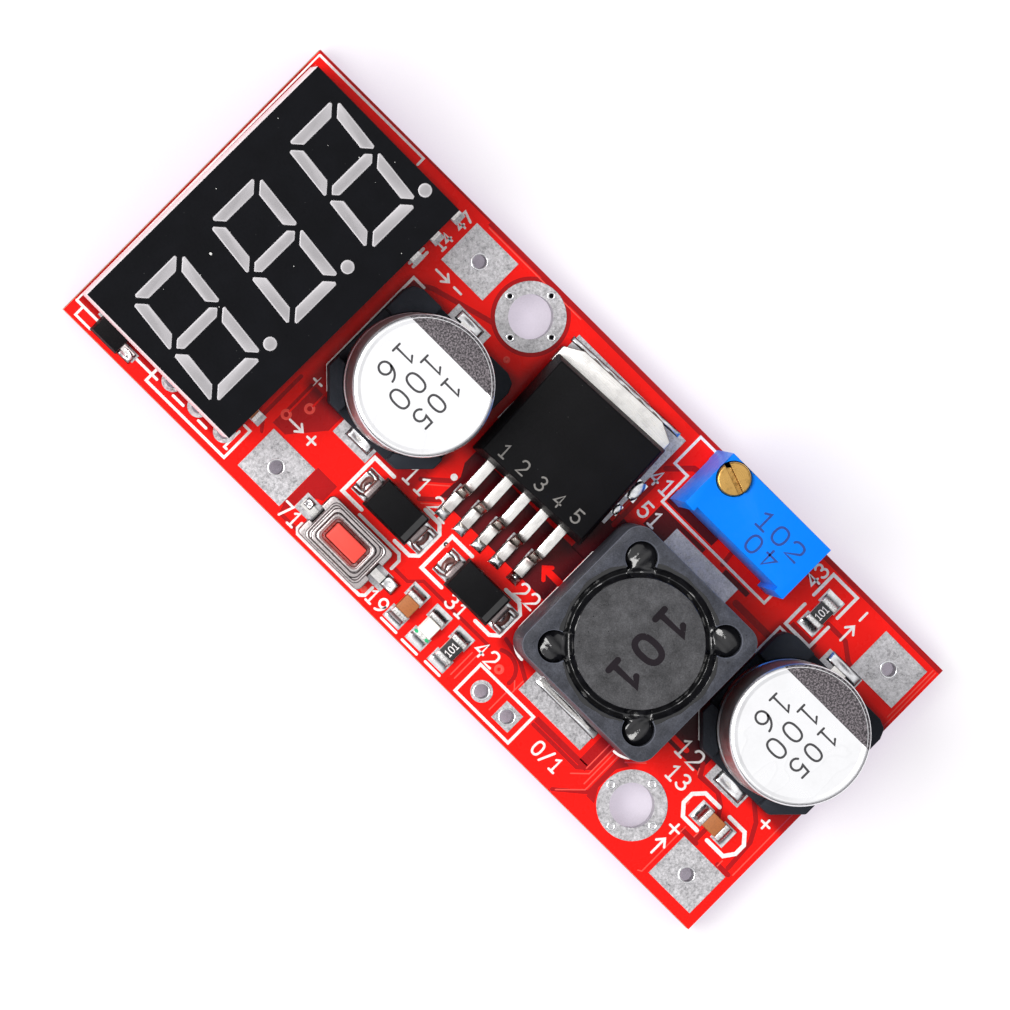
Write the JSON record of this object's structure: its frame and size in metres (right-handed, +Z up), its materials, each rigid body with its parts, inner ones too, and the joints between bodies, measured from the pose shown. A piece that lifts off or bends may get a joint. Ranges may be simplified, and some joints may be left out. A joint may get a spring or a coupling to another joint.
{
  "type": "buck converter module",
  "caption": "Small red circuit board with a switching step-down regulator, shielded choke, can capacitors, trimmer, push switch and a digit display for the voltage.",
  "frame": {"origin": "centre of the board outline, at the level where the clipped pins under the board rest", "axes": "+X along the board from the display to the output pads, +Y across it to the negative pads, +Z up out of the component side"},
  "size_m": [0.062, 0.0256, 0.013],
  "materials": {
    "board_laminate": "glossy red solder mask over glass laminate",
    "tinned_copper": "hot-levelled solder over copper",
    "solder": "bright flowed solder",
    "display_shell": "white moulded plastic",
    "display_black": "satin black front layer",
    "display_bar": "milky grey epoxy",
    "inner_board": "green laminate",
    "gold_chip": "bare lamp chips with gold contacts",
    "black_mould": "fine matt black moulding compound",
    "can_aluminium": "satin aluminium",
    "capacitor_base": "semi-matt black plastic",
    "tinned_lead": "bright tin plate",
    "ferrite": "smooth dark grey ferrite",
    "drum_ferrite": "matt grey ferrite",
    "copper_wire": "enamelled copper",
    "black_glue": "glossy black epoxy",
    "switch_steel": "nickel-plated steel",
    "button_red": "coral red plastic",
    "trimmer_blue": "blue moulded plastic",
    "screw_brass": "turned brass",
    "chip_ceramic": "brown ceramic",
    "resistor_top": "black glaze on white ceramic",
    "lamp_white": "white laminate",
    "lamp_lens": "clear to milky epoxy"
  },
  "bodies": {
    "board": {"circuit_board": "board_laminate", "mounting_hole_linings": "tinned_copper", "wire_pads": "tinned_copper", "jumper_hole_linings": "tinned_copper", "header_hole_linings": "tinned_copper", "solder_lands": "tinned_copper", "pin_solder_joints": "solder", "display_housing": "display_shell", "display_face": "display_black", "display_bars": "display_bar", "display_circuit_board": "inner_board", "display_lamp_chips": "gold_chip", "display_pins": "tinned_lead", "meter_regulator_body": "black_mould", "meter_regulator_leads": "tinned_lead", "meter_controller_body": "black_mould", "meter_controller_leads": "tinned_lead", "meter_chip_bodies": "chip_ceramic", "meter_chip_ends": "tinned_lead", "input_capacitor_can": "can_aluminium", "input_capacitor_base": "capacitor_base", "input_capacitor_leads": "tinned_lead", "output_capacitor_can": "can_aluminium", "output_capacitor_base": "capacitor_base", "output_capacitor_leads": "tinned_lead", "inductor_shield": "ferrite", "inductor_drum_core": "drum_ferrite", "inductor_winding": "copper_wire", "inductor_glue": "black_glue", "inductor_base": "black_mould", "inductor_terminals": "tinned_lead", "regulator_body": "black_mould", "regulator_tab": "tinned_lead", "regulator_leads": "tinned_lead", "input_diode_body": "black_mould", "input_diode_leads": "tinned_lead", "freewheel_diode_body": "black_mould", "freewheel_diode_leads": "tinned_lead", "switch_base": "black_mould", "switch_cover": "switch_steel", "switch_dome": "switch_steel", "switch_terminals": "tinned_lead", "trimmer_housing": "trimmer_blue", "trimmer_pins": "tinned_lead", "chip_resistor_bodies": "resistor_top", "chip_resistor_ends": "tinned_lead", "chip_capacitor_bodies": "chip_ceramic", "chip_capacitor_ends": "tinned_lead", "indicator_lamp_body": "lamp_white", "indicator_lamp_lens": "lamp_lens", "indicator_lamp_ends": "tinned_lead"},
    "button": {"switch_button": "button_red"},
    "adjuster": {"trimmer_screw": "screw_brass"}
  },
  "joints": [
    {"name": "button_press", "type": "slide", "parent": "board", "child": "button", "axis": [0, 0, -1], "range_m": [0, 0.00025], "stiffness_N_per_m": 6000, "deforming": ["switch_dome"]},
    {"name": "adjuster_turn", "type": "hinge", "parent": "board", "child": "adjuster", "pos_m": [0.00992, 0.01133, 0.008], "axis": [0, 0, 1], "continuous": true}
  ]
}
